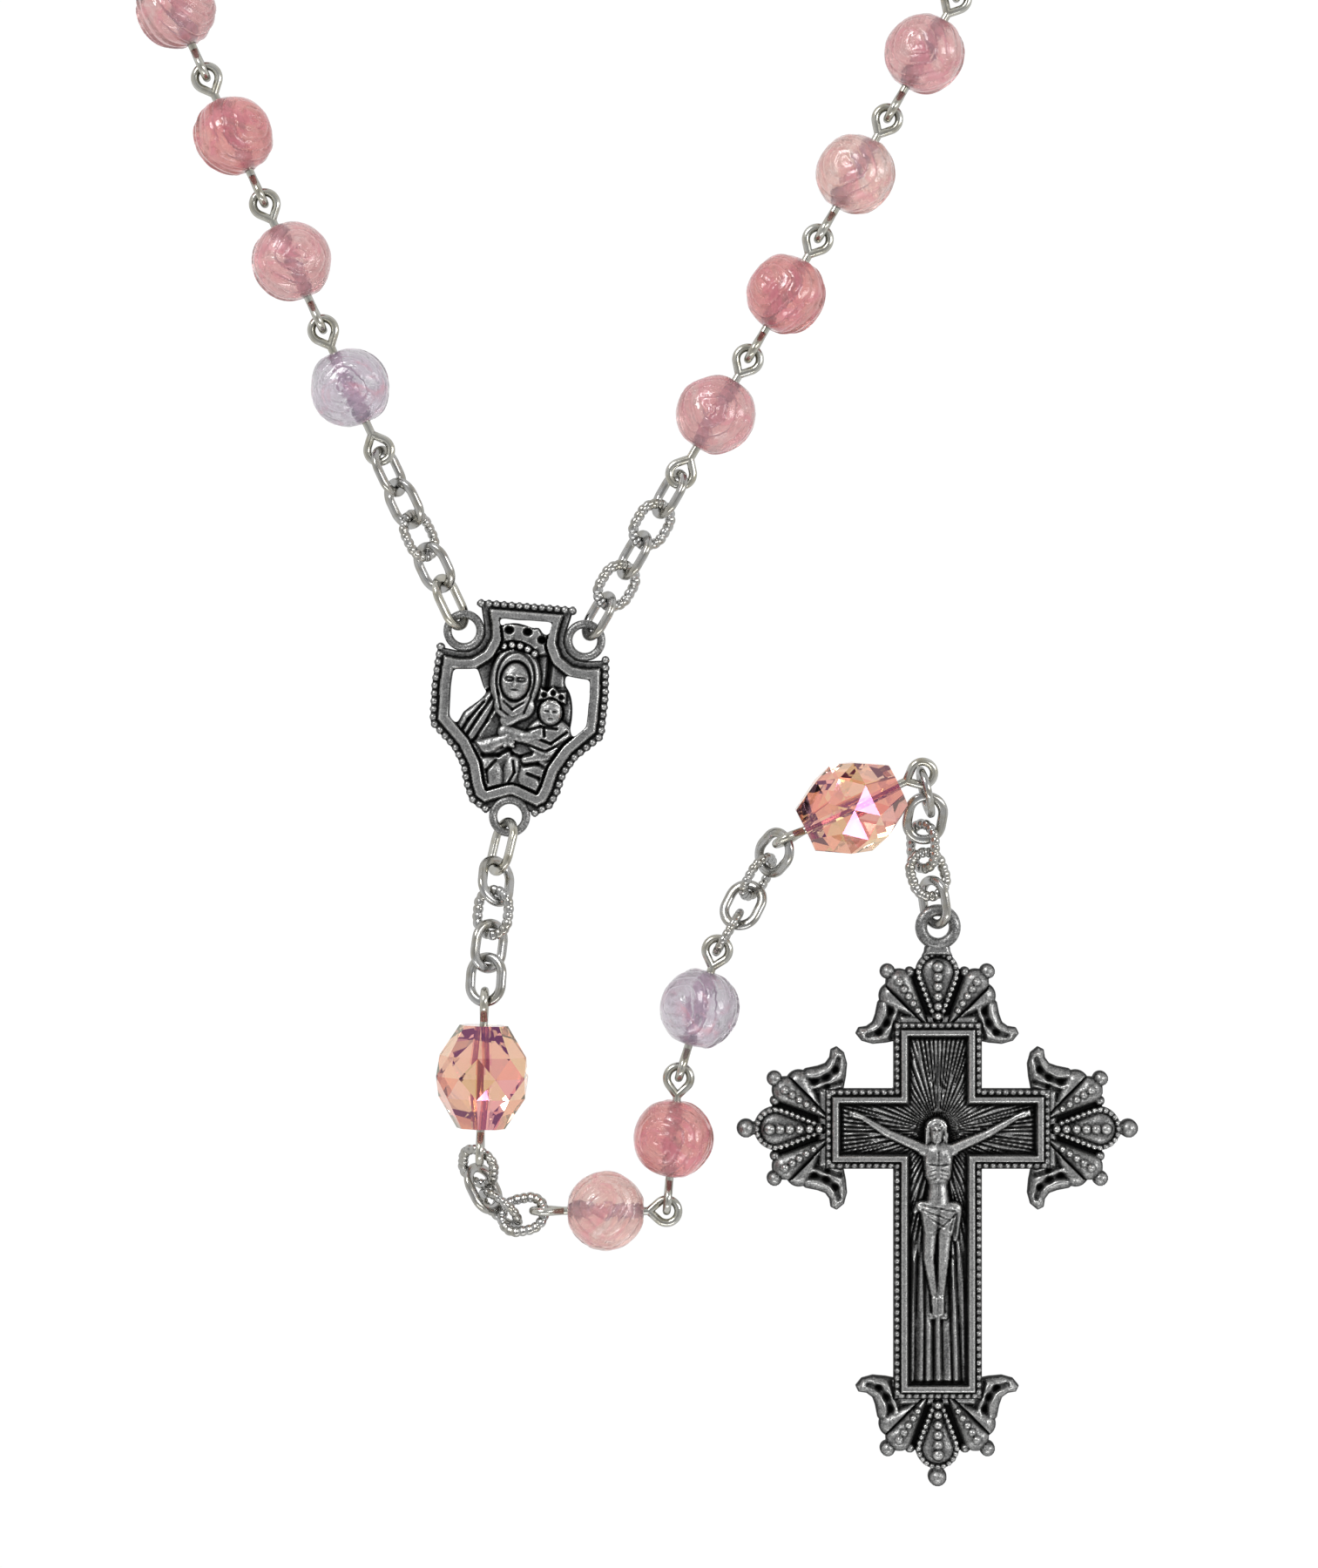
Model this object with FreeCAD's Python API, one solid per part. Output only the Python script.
"""Rosary of five decades, laid flat on a table (millimetres, +Z up).

Beads sit on eye-pins, the pins and the oval links hook into each other, and both
strands and the pendant hang from the centre medal.  The layout is a walk: each
piece starts in the eye or link before it and points along its own heading.
"""
import FreeCAD, Part
import math
import os

Vector = FreeCAD.Vector
ALONG = Vector(1, 0, 0)
ACROSS = Vector(0, 1, 0)
UP = Vector(0, 0, 1)

# ---- wire, eyes and links -------------------------------------------------
WIRE_R = 0.35
EYE_R = 1.00  # centre line of an eye
EYE_TIP = 1.50  # from an eye's centre to the point where its wires meet
NECK = 0.425  # bare wire between a bead and its eye
EYE_REACH = 0.95  # from an eye's end wire to the wire of the link hooked in it
LINK_LENGTH = 4.50
LINK_WIDTH = 3.60
JUMP_LENGTH = 5.00
JUMP_SLACK = 0.80  # play of a jump ring over its two joints
FLAT = 0  # roll of an eye that lies flat
EDGE = 90  # roll of an eye that stands on edge

# ---- beads ----------------------------------------------------------------
SMALL_R = 3.45  # Hail Mary bead, round
LARGE_R = 4.05  # Our Father bead, faceted
LARGE_HALF = 4.35
BORE_R = 0.43
DECADE = 10
FREE_BEADS = 4  # beads next to the medal on each strand, each a node of its own
TOP_DECADE = 3
FACETS = 8  # facets round a large bead
CROWN_HALF = 1.75  # where the slanting facets meet the belt
CROWN_R = 3.68
TABLE_R = 2.05  # flat end of a large bead

# ---- centre medal ---------------------------------------------------------
MEDAL_TURN = -4.7
MEDAL_DEPTH = 2.0
RIM = 1.30  # width of the solid border
RING_R = 1.40  # centre line of the medal's three rings
RING_WIRE = 0.35
RING_Z = 1.50
SIDE_RING = (5.16, 7.10)
FOOT_RING = (0.0, -8.34)
FIGURE_BASE = 0.3
FIGURE_TOP = 1.5
MOTHER_HEAD_R = 1.35
CHILD_HEAD_R = 0.95

# ---- crucifix -------------------------------------------------------------
CROSS_DEPTH = 2.2
POST_WIDTH = 7.5
POST_TOP = 9.1
POST_FOOT = -23.0
ARM_WIDTH = 6.8
ARM_HALF = 9.6
BORDER = 1.15  # beaded and plain border round the sunk panel
PANEL_SINK = 0.7
FINIAL_DEPTH = 1.8
PETAL_LENGTH = 6.4
PETAL_WIDTH = 3.6
SIDE_PETAL_LENGTH = 5.2
SIDE_PETAL_WIDTH = 2.5
SIDE_PETAL_LEAN = 36
END_BALL_R = 0.75
SIDE_BALL_R = 0.62
HEAD_R = 1.0
CHEST_R = 1.45
HIP_R = 1.2
FOOT_R = 0.6
CROSS_RING_Y = 17.2
CROSS_RING_R = 1.43
CROSS_RING_WIRE = 0.50
RING_NECK = (2.0, 1.2, 1.0)  # width, length and depth of the stem under the ring
RING_REACH = 0.50  # from a ring's wire to the joint with its link

# ---- strands and pendant --------------------------------------------------
STRAND_PITCH = 3.0  # links beside the medal
LOOSE_PITCH = 2.45  # links that lie loose above the crucifix
BUNCHED_PITCH = 2.3  # links bunched up under the first large bead
FIRST_NECK = 0.9  # bare wire at the foot of the first bead of each strand
GROUP_PITCH = 2.9  # links on either side of a large bead of the loop
LEFT_HEADING = 115.0
RIGHT_HEADING = 59.7
CROWN_TURN = 117.65  # how far each strand turns from the medal to the top
LEFT_ROLLS = (60, -40, 45, -45, 60)
RIGHT_ROLLS = (-62, 28, -60, 30, -60)
TO_LARGE_ROLLS = (90, -5, 85, -5)
FROM_LARGE_ROLLS = (18, -54, 54, -18)
TO_LARGE_SLOPES = (-12, -14, 12)
FROM_LARGE_SLOPES = (-30, -10, 8)
SMALL_PITCH = 2 * (EYE_TIP + SMALL_R + NECK) + EYE_R
LARGE_PITCH = 2 * (EYE_TIP + LARGE_HALF + NECK) + EYE_R
HALF_LENGTH = 5 * STRAND_PITCH + 2.5 * DECADE * SMALL_PITCH + 2 * (8 * GROUP_PITCH + LARGE_PITCH)
JUMP_PITCH = JUMP_LENGTH - 2 * WIRE_R - JUMP_SLACK
PENDANT_HEADING = -103
RING_HEADING = -80  # from the last link to the middle of the crucifix's ring

# The pendant, chain by chain: heading, slope and roll of each link, in degrees.
PENDANT_JUMP = (-103.2, 7.9, 60)
CHAIN_1 = ((-94.2, 30, -40), (-95.7, -1, 26), (-97.2, 5.3, -41), (-93.5, None, 25))
CHAIN_2 = ((-97.7, -40.3, 22), (-63.5, 2.9, -54), (-36.6, 11.1, 59), (12.0, None, -27))
CHAIN_3 = ((57.8, -23, 86), (63.0, -15.3, -25), (62.1, 13.5, 60), (49.9, None, -30))
CHAIN_4 = ((-78.2, -31.1, 85), (-99.5, -13.9, -3), (-88.1, -2.6, 49), (-71.9, -1.7, -15), (-81.7, None, 53))
CHAIN_1_PITCH = 2.85
CHAIN_3_PITCH = 2.80
HAIL_MARY_HEADINGS = (-0.2, 84.8, 73.2)
FIRST_LARGE_HEADING = -91.7
LAST_LARGE_HEADING = 25.8
SHORT_NECKS = (0.20, 0.20)
LAST_NECKS = (0.22, 0.79)
LAST_ROLLS = (81, -9)


def unit(heading, slope=0.0):
    """Direction of a heading (degrees from +X) that climbs at a slope."""
    turn = math.radians(heading)
    climb = math.radians(slope)
    return Vector(math.cos(climb) * math.cos(turn), math.cos(climb) * math.sin(turn), math.sin(climb))


def placed(shape, point, heading, slope=0.0, roll=0.0):
    """A copy of a shape modelled along +X, moved to where a piece of the rosary lies."""
    turned = FreeCAD.Rotation(UP, heading)
    turned = turned.multiply(FreeCAD.Rotation(ACROSS, -slope))
    turned = turned.multiply(FreeCAD.Rotation(ALONG, roll))
    moved = shape.copy()
    moved.Placement = FreeCAD.Placement(point, turned)
    return moved


def round_wire(edges, start, direction, radius=WIRE_R):
    """Solid wire of a round section swept along smoothly joined edges."""
    section = Part.Wire(Part.makeCircle(radius, start, direction))
    return Part.Wire(edges).makePipeShell([section], True, False)


# ---- single pieces, each modelled along +X --------------------------------
def link(length=LINK_LENGTH, width=LINK_WIDTH):
    """Oval link, flat in XY, with the middle of its near end wire at the origin."""
    radius = width / 2 - WIRE_R
    run = length - width
    bend = Part.makeTorus(radius, WIRE_R, Vector(0, 0, 0), UP, -180, 180, 180)
    near_end = placed(bend, Vector(radius, 0, 0), 90)
    far_end = placed(bend, Vector(radius + run, 0, 0), -90)
    sides = [Part.makeCylinder(WIRE_R, run, Vector(radius, y, 0), ALONG) for y in (-radius, radius)]
    return near_end.fuse([sides[0], far_end, sides[1]]).removeSplitter()


def eye():
    """Eye of a pin, flat in XY: end wire at the origin, shank going on along +X."""
    reach = math.degrees(math.acos(EYE_R / EYE_TIP))
    centre = Vector(EYE_R, 0, 0)
    tip = centre + Vector(EYE_TIP, 0, 0)
    bend = Part.makeTorus(EYE_R, WIRE_R, Vector(0, 0, 0), UP, -180, 180, 360 - 2 * reach)
    pieces = [Part.makeSphere(WIRE_R, tip)]
    for side in (reach, -reach):
        end = centre + unit(side) * EYE_R
        pieces.append(Part.makeCylinder(WIRE_R, (tip - end).Length, end, tip - end))
    return placed(bend, centre, reach).fuse(pieces)


def pin_length(half, near_neck, far_neck):
    return 2 * (EYE_R + EYE_TIP + half) + near_neck + far_neck


def eye_pin(half, near_neck, far_neck, near_roll, far_roll):
    """Pin of a bead: shank with an eye at each end, near end wire at the origin."""
    length = pin_length(half, near_neck, far_neck)
    tip = EYE_R + EYE_TIP
    shank = Part.makeCylinder(WIRE_R, length - 2 * tip, Vector(tip, 0, 0), ALONG)
    near_eye = placed(eye(), Vector(0, 0, 0), 0, 0, near_roll)
    far_eye = placed(eye(), Vector(length, 0, 0), 180, 0, far_roll)
    return shank.fuse([near_eye, far_eye])


def bore(half):
    return Part.makeCylinder(BORE_R, 2 * half, Vector(-half, 0, 0), ALONG)


def small_bead():
    """Round Hail Mary bead, centred on the origin and bored along X."""
    half = math.sqrt(SMALL_R ** 2 - BORE_R ** 2)
    ends = [Vector(-half, BORE_R, 0), Vector(half, BORE_R, 0)]
    edges = [
        Part.Arc(ends[0], Vector(0, SMALL_R, 0), ends[1]).toShape(),
        Part.makeLine(ends[1], ends[0]),
    ]
    return Part.Face(Part.Wire(edges)).revolve(Vector(0, 0, 0), ALONG, 360)


def ring_of_points(x, radius, phase):
    step = 2 * math.pi / FACETS
    return [
        Vector(x, radius * math.cos(step * (n + phase)), radius * math.sin(step * (n + phase)))
        for n in range(FACETS)
    ]


def flat_face(points):
    return Part.Face(Part.makePolygon(points + points[:1]))


def large_bead():
    """Faceted Our Father bead: flat ends, slanting facets and a belt of triangles."""
    belt = ring_of_points(0, LARGE_R, 0.5)
    faces = []
    for side in (-1, 1):
        table = ring_of_points(side * LARGE_HALF, TABLE_R, 0)
        crown = ring_of_points(side * CROWN_HALF, CROWN_R, 0)
        faces.append(flat_face(table))
        for n in range(FACETS):
            after = (n + 1) % FACETS
            faces.append(flat_face([table[n], table[after], crown[after], crown[n]]))
            faces.append(flat_face([crown[n], crown[after], belt[n]]))
            faces.append(flat_face([belt[n], crown[after], belt[after]]))
    body = Part.Solid(Part.Shell(faces))
    if body.Volume < 0:
        body.reverse()
    return body.cut(bore(LARGE_HALF))


# ---- centre medal and crucifix, each modelled upright in XY ---------------
def mirrored(points):
    return points + [(-x, y) for x, y in reversed(points) if x > 0]


def prism(points, bottom, top):
    corners = [Vector(x, y, bottom) for x, y in points]
    return flat_face(corners).extrude(Vector(0, 0, top - bottom))


def medal_outline(inset):
    """Outline of the medal, moved inwards; notches at the top corners take the side rings."""
    right = [
        (4.1 - inset, 9.8 - inset),
        (3.7 - inset, 7.6 - inset),
        (4.2 - inset, 6.2 - inset),
        (5.4 - inset, 5.5 - inset),
        (7.3 - inset, 5.7 - inset),
        (7.5 - inset, 2.4),
        (7.4 - inset, -0.9 + inset / 2),
        (5.3 - inset, -3.0),
        (4.1 - inset, -5.6),
        (3.6 - inset, -7.2 + inset),
        (2.3 - inset / 2, -8.1 + inset),
        (0.0, -7.2 + inset),
    ]
    return mirrored(right)


def medal():
    """Pierced centre medal: border, crowned mother with child, and three rings."""
    frame = prism(medal_outline(0), 0, MEDAL_DEPTH)
    window = prism(medal_outline(RIM), 0, MEDAL_DEPTH)
    mother = [(-3.0, 7.4), (3.0, 7.4), (3.2, 3.2), (4.1, 2.2), (4.5, 0.2), (4.4, -2.4)]
    mother += [(3.0, -6.9), (-3.0, -6.9), (-4.4, -3.0), (-5.1, -1.6), (-2.7, 1.6), (-3.0, 5.5)]
    body = prism(mother, FIGURE_BASE, FIGURE_TOP)
    head = Part.makeSphere(MOTHER_HEAD_R, Vector(0, 3.0, FIGURE_TOP - 0.6))
    child = Part.makeSphere(CHILD_HEAD_R, Vector(2.5, 1.5, FIGURE_TOP - 0.3))
    rings = []
    for x, y in (SIDE_RING, (-SIDE_RING[0], SIDE_RING[1]), FOOT_RING):
        rings.append(Part.makeTorus(RING_R, RING_WIRE, Vector(x, y, RING_Z), UP))
    whole = frame.cut(window).fuse([body, head, child] + rings).removeSplitter()
    return placed(whole, Vector(0, 0, 0), MEDAL_TURN)


def cross_bars(shrink, bottom, top):
    """Latin cross of two bars, each moved inwards by shrink."""
    post = POST_WIDTH / 2 - shrink
    arm = ARM_WIDTH / 2 - shrink
    arm_end = ARM_HALF - shrink
    head = POST_TOP - shrink
    foot = POST_FOOT + shrink
    right = [(post, head), (post, arm), (arm_end, arm), (arm_end, -arm), (post, -arm), (post, foot)]
    return prism(mirrored(right), bottom, top)


def petal(length, width, root, lean):
    """Teardrop leaf from a root point, leaning from +Y; its wide end is round."""
    radius = width / 2
    reach = length - radius
    spread = math.acos(radius / reach)
    out = radius * math.sin(spread)
    up = reach - radius * math.cos(spread)
    ends = [Vector(out, up, 0), Vector(-out, up, 0)]
    edges = [
        Part.makeLine(Vector(0, 0, 0), ends[0]),
        Part.Arc(ends[0], Vector(0, length, 0), ends[1]).toShape(),
        Part.makeLine(ends[1], Vector(0, 0, 0)),
    ]
    leaf = Part.Face(Part.Wire(edges)).extrude(Vector(0, 0, FINIAL_DEPTH))
    leaf.Placement = FreeCAD.Placement(Vector(root[0], root[1], 0), FreeCAD.Rotation(UP, -lean))
    return leaf


def finial():
    """Palmette on a bar's end, its root on the origin: petals, curled leaves and balls."""
    ball_z = FINIAL_DEPTH / 2
    pieces = [
        prism([(-3.4, -0.5), (3.4, -0.5), (2.6, 1.4), (-2.6, 1.4)], 0, FINIAL_DEPTH),
        petal(PETAL_LENGTH, PETAL_WIDTH, (0, -0.3), 0),
        Part.makeSphere(END_BALL_R, Vector(0, 6.6, ball_z)),
    ]
    for side in (-1, 1):
        root = (side * 0.8, -0.3)
        pieces.append(petal(SIDE_PETAL_LENGTH, SIDE_PETAL_WIDTH, root, side * SIDE_PETAL_LEAN))
        pieces.append(Part.makeSphere(SIDE_BALL_R, Vector(side * 4.25, 4.1, ball_z)))
        leaf = [(3.2, -1.6), (4.6, -2.9), (6.2, -2.7), (5.9, -1.5), (5.2, -1.0), (5.0, 0.9), (3.0, 1.3)]
        pieces.append(prism([(side * x, y) for x, y in leaf], 0, FINIAL_DEPTH))
    return pieces[0].fuse(pieces[1:])


def corpus():
    """Figure on the cross, as plain rods and balls that the panel backs."""
    chest_z = CROSS_DEPTH - 0.2
    arm_z = CROSS_DEPTH - 0.5
    pieces = [
        Part.makeSphere(HEAD_R, Vector(-0.1, -0.4, chest_z)),
        Part.makeCone(CHEST_R, HIP_R, 7.0, Vector(0, -2.0, arm_z), -ACROSS),
        Part.makeCone(HIP_R, FOOT_R, 6.6, Vector(0, -8.8, arm_z), -ACROSS),
    ]
    for side in (-1, 1):
        shoulder = Vector(side * 1.0, -2.6, arm_z)
        hand = Vector(side * 7.4, 0.9, arm_z)
        pieces.append(Part.makeCone(0.7, 0.4, (hand - shoulder).Length, shoulder, hand - shoulder))
    return pieces


def crucifix():
    """Crucifix with its crossing on the origin, back face at Z 0 and head along +Y."""
    cross = cross_bars(0, 0, CROSS_DEPTH)
    panel = cross_bars(BORDER, CROSS_DEPTH - PANEL_SINK, CROSS_DEPTH)
    ends = [
        placed(finial(), Vector(0, POST_TOP, 0), 0),
        placed(finial(), Vector(-ARM_HALF, 0, 0), 90),
        placed(finial(), Vector(0, POST_FOOT, 0), 180),
        placed(finial(), Vector(ARM_HALF, 0, 0), -90),
    ]
    ring = Part.makeTorus(CROSS_RING_R, CROSS_RING_WIRE, Vector(0, CROSS_RING_Y, RING_Z), UP)
    figure = corpus()
    width, length, depth = RING_NECK
    foot = Vector(-width / 2, CROSS_RING_Y - CROSS_RING_R - length + 0.1, RING_Z - depth / 2)
    neck = Part.makeBox(width, length, depth, foot)
    whole = cross.cut(panel).fuse(ends + figure + [ring, neck]).removeSplitter()
    room = Part.makeCylinder(CROSS_RING_R - CROSS_RING_WIRE, MEDAL_DEPTH, Vector(0, CROSS_RING_Y, 0))
    return whole.cut(room)


# ---- the walk -------------------------------------------------------------
class Walk:
    """Lays pieces one after another; every piece is kept with its place and its ends."""

    def __init__(self, point):
        self.point = point  # the joint, or the middle of the eye, that the next piece starts from
        self.link_end = point
        self.in_eye = False
        self.pieces = []

    def add_link(self, name, pitch, heading, slope, roll, length=LINK_LENGTH):
        direction = unit(heading, slope)
        span = length - 2 * WIRE_R
        reach = (span - pitch) / 2
        begin = self.point if self.in_eye else self.point - direction * reach
        self.pieces.append(
            dict(name=name, kind="link", length=length, begin=begin, heading=heading, slope=slope,
                 roll=roll, near=begin, far=begin + direction * span, direction=direction)
        )
        self.point = begin + direction * (span - reach)
        self.link_end = begin + direction * span
        self.in_eye = False

    def add_bead(self, name, half, heading, necks=(NECK, NECK), rolls=(EDGE, FLAT)):
        direction = unit(heading)
        begin = self.point if self.in_eye else self.link_end - direction * EYE_REACH
        length = pin_length(half, *necks)
        self.pieces.append(
            dict(name=name, kind="bead", half=half, necks=necks, rolls=rolls, begin=begin,
                 heading=heading, near=begin, far=begin + direction * length, direction=direction,
                 middle=begin + direction * (EYE_R + EYE_TIP + necks[0] + half))
        )
        self.point = begin + direction * (length - EYE_R)
        self.in_eye = True

    def climb_to(self, height, advance):
        """Slope of the last link of a chain, so that what comes after it sits at a height."""
        return math.degrees(math.asin((height - self.point.z) / advance))


def far_part(pitch):
    """From the joint a link starts at to the middle of its far end wire."""
    return (LINK_LENGTH - 2 * WIRE_R + pitch) / 2


def half_loop(point, heading, side, power, medal_links):
    """One half of the loop, from the medal's ring to the middle of the top decade."""
    walk = Walk(point)
    run = 0.0

    def turned(advance):
        middle = min((run + advance / 2) / HALF_LENGTH, 1.0)
        return heading - side * CROWN_TURN * middle ** power

    for index, (name, pitch, roll, length) in enumerate(medal_links):
        climb = SMALL_R - walk.point.z
        left = sum(item[1] for item in medal_links[index:])
        slope = math.degrees(math.asin(climb / left))
        if index == len(medal_links) - 1:
            slope = walk.climb_to(SMALL_R, far_part(pitch))
        walk.add_link(name, pitch, turned(pitch), slope, roll, length)
        run += pitch
    for group in range(3):
        beads = DECADE if group < 2 else DECADE // 2
        for n in range(beads):
            rolls = (EDGE, FLAT)
            necks = (NECK, NECK)
            if group == 0 and n == 0:
                rolls = (FLAT, FLAT)
                necks = (FIRST_NECK, NECK)
            if group == 2 and n == beads - 1 and side < 0:
                rolls = (EDGE, EDGE)
            pitch = pin_length(SMALL_R, *necks) - EYE_R
            walk.add_bead(f"decade {group} {n}", SMALL_R, turned(pitch), necks, rolls)
            run += pitch
        if group == 2:
            break
        for stage, rolls, slopes, height in (
            ("to", TO_LARGE_ROLLS, TO_LARGE_SLOPES, LARGE_R),
            ("from", FROM_LARGE_ROLLS, FROM_LARGE_SLOPES, SMALL_R),
        ):
            for n, roll in enumerate(rolls):
                slope = slopes[n] if n < len(slopes) else walk.climb_to(height, far_part(GROUP_PITCH))
                advance = GROUP_PITCH * math.cos(math.radians(slope))
                walk.add_link(f"large {group} {stage}", GROUP_PITCH, turned(advance), slope, roll)
                run += advance
            if stage == "to":
                walk.add_bead(f"large {group}", LARGE_HALF, turned(LARGE_PITCH), rolls=(EDGE, EDGE))
                run += LARGE_PITCH
    return walk


def ring_joint(ring, heading):
    """Where the first link meets one of the medal's rings."""
    x, y = ring
    turn = math.radians(MEDAL_TURN)
    centre = Vector(
        x * math.cos(turn) - y * math.sin(turn), x * math.sin(turn) + y * math.cos(turn), RING_Z
    )
    return centre + unit(heading) * (RING_R - RING_REACH)


def loop_halves(left_power, right_power):
    left_links = [("left jump", JUMP_PITCH, LEFT_ROLLS[0], JUMP_LENGTH)]
    left_links += [("left chain", STRAND_PITCH, roll, LINK_LENGTH) for roll in LEFT_ROLLS[1:]]
    right_links = [("right chain", STRAND_PITCH, roll, LINK_LENGTH) for roll in RIGHT_ROLLS]
    left_ring = (-SIDE_RING[0], SIDE_RING[1])
    left = half_loop(ring_joint(left_ring, LEFT_HEADING), LEFT_HEADING, 1, left_power, left_links)
    right = half_loop(ring_joint(SIDE_RING, RIGHT_HEADING), RIGHT_HEADING, -1, right_power, right_links)
    return left, right


def opening(left_power, right_power):
    """Gap between the two halves at the top of the loop."""
    left, right = loop_halves(left_power, right_power)
    return left.point - right.pieces[-1]["far"]


def closed_loop():
    """Finds how each strand curves so that the halves meet at the top."""
    powers = [2.2, 2.2]
    small = 1e-4
    for _ in range(12):
        gap = opening(*powers)
        by_left = (opening(powers[0] + small, powers[1]) - gap) * (1 / small)
        by_right = (opening(powers[0], powers[1] + small) - gap) * (1 / small)
        scale = by_left.x * by_right.y - by_right.x * by_left.y
        powers[0] -= (gap.x * by_right.y - by_right.x * gap.y) / scale
        powers[1] -= (by_left.x * gap.y - gap.x * by_left.y) / scale
    return loop_halves(*powers)


def add_chain(walk, name, rows, pitch, height, tail):
    """A chain of links; the last one brings the next piece to its height."""
    for heading, slope, roll in rows:
        if slope is None:
            slope = walk.climb_to(height, tail)
        walk.add_link(name, pitch, heading, slope, roll)


def pendant():
    """From the medal's foot ring to the crucifix."""
    walk = Walk(ring_joint(FOOT_RING, PENDANT_HEADING))
    heading, slope, roll = PENDANT_JUMP
    walk.add_link("jump ring", JUMP_PITCH, heading, slope, roll, JUMP_LENGTH)
    add_chain(walk, "chain 1", CHAIN_1, CHAIN_1_PITCH, LARGE_R, far_part(CHAIN_1_PITCH))
    walk.add_bead("our father 1", LARGE_HALF, FIRST_LARGE_HEADING, rolls=(EDGE, EDGE))
    add_chain(walk, "chain 2", CHAIN_2, BUNCHED_PITCH, SMALL_R, far_part(BUNCHED_PITCH))
    for n, heading in enumerate(HAIL_MARY_HEADINGS):
        walk.add_bead(f"hail mary {n + 1}", SMALL_R, heading, SHORT_NECKS)
    add_chain(walk, "chain 3", CHAIN_3, CHAIN_3_PITCH, LARGE_R, far_part(CHAIN_3_PITCH))
    walk.add_bead("our father 2", LARGE_HALF, LAST_LARGE_HEADING, LAST_NECKS, LAST_ROLLS)
    add_chain(walk, "chain 4", CHAIN_4, LOOSE_PITCH, RING_Z, LOOSE_PITCH)
    walk.point = walk.point + unit(RING_HEADING) * (CROSS_RING_R - RING_REACH)
    return walk


LINKS = {LINK_LENGTH: link(), JUMP_LENGTH: link(JUMP_LENGTH)}
BEADS = {SMALL_R: small_bead(), LARGE_HALF: large_bead()}
PINS = {}


def shape_of(piece, what):
    """The solid of a piece: its link, its pin or its bead."""
    if what == "link":
        solid = LINKS[piece["length"]]
        return placed(solid, piece["begin"], piece["heading"], piece["slope"], piece["roll"])
    if what == "pin":
        key = (piece["half"],) + tuple(piece["necks"]) + tuple(piece["rolls"])
        if key not in PINS:
            PINS[key] = eye_pin(*key)
        return placed(PINS[key], piece["begin"], piece["heading"])
    return placed(BEADS[piece["half"]], piece["middle"], piece["heading"])


# ---- nodes ----------------------------------------------------------------
def named(walk, start):
    return [piece for piece in walk.pieces if piece["name"].startswith(start)]


def strand_plan(walk, side, first_decade, second_decade, letters):
    """What goes into each node of one strand: a list of node, piece and kind of solid."""
    plan = [(f"{side}_jump_ring", piece, "link") for piece in named(walk, f"{side} jump")]
    plan += [(f"{side}_chain_links", piece, "link") for piece in named(walk, f"{side} chain")]
    beads = named(walk, "decade 0 ")
    for n, piece in enumerate(beads[:FREE_BEADS]):
        plan.append((f"{side}_bead_{n + 1}", piece, "bead"))
        plan.append((f"{side}_pin_{n + 1}", piece, "pin"))
    groups = [(first_decade, beads[FREE_BEADS:])]
    groups.append((second_decade, named(walk, "decade 1 ")))
    groups.append((TOP_DECADE, named(walk, "decade 2 ")))
    for decade, pieces in groups:
        plan += [(f"decade_{decade}_beads", piece, "bead") for piece in pieces]
        plan += [(f"decade_{decade}_pins", piece, "pin") for piece in pieces]
    for group, letter in enumerate(letters):
        for piece in named(walk, f"large {group}"):
            if piece["kind"] == "link":
                plan.append((f"our_father_links_{letter}", piece, "link"))
            else:
                plan.append((f"our_father_bead_{letter}", piece, "bead"))
                plan.append((f"our_father_pin_{letter}", piece, "pin"))
    return plan


def pendant_plan(walk):
    plan = []
    for piece in walk.pieces:
        name = "pendant_" + piece["name"].replace(" ", "_")
        if piece["kind"] == "link":
            plan.append((name, piece, "link"))
        else:
            plan.append((f"{name}_bead", piece, "bead"))
            plan.append((f"{name}_pin", piece, "pin"))
    return plan


def assembly(left, right, drop):
    """Every node of the rosary as a list of solids, before it is moved to its frame."""
    plan = strand_plan(left, "left", 1, 2, "ab") + strand_plan(right, "right", 5, 4, "dc")
    plan += pendant_plan(drop)
    nodes = {"medal": [medal()]}
    for node, piece, what in plan:
        nodes.setdefault(node, []).append(shape_of(piece, what))
    hanging = drop.point - Vector(0, CROSS_RING_Y, drop.point.z)
    nodes["crucifix"] = [placed(crucifix(), hanging, 0)]
    return nodes


def frame_shift(nodes):
    """Moves the middle of the whole rosary's footprint to the origin and its back to Z 0."""
    whole = Part.makeCompound([solid for solids in nodes.values() for solid in solids])
    box = whole.optimalBoundingBox(False, False)
    return Vector(-(box.XMin + box.XMax) / 2, -(box.YMin + box.YMax) / 2, -box.ZMin)


def main():
    left, right = closed_loop()
    nodes = assembly(left, right, pendant())
    shift = frame_shift(nodes)
    os.makedirs("parts", exist_ok=True)
    for name, solids in nodes.items():
        for solid in solids:
            solid.translate(shift)
        shape = solids[0] if len(solids) == 1 else Part.makeCompound(solids)
        shape.exportStep(f"parts/{name}.step")
    print(len(nodes), "nodes, moved by", shift)


main()
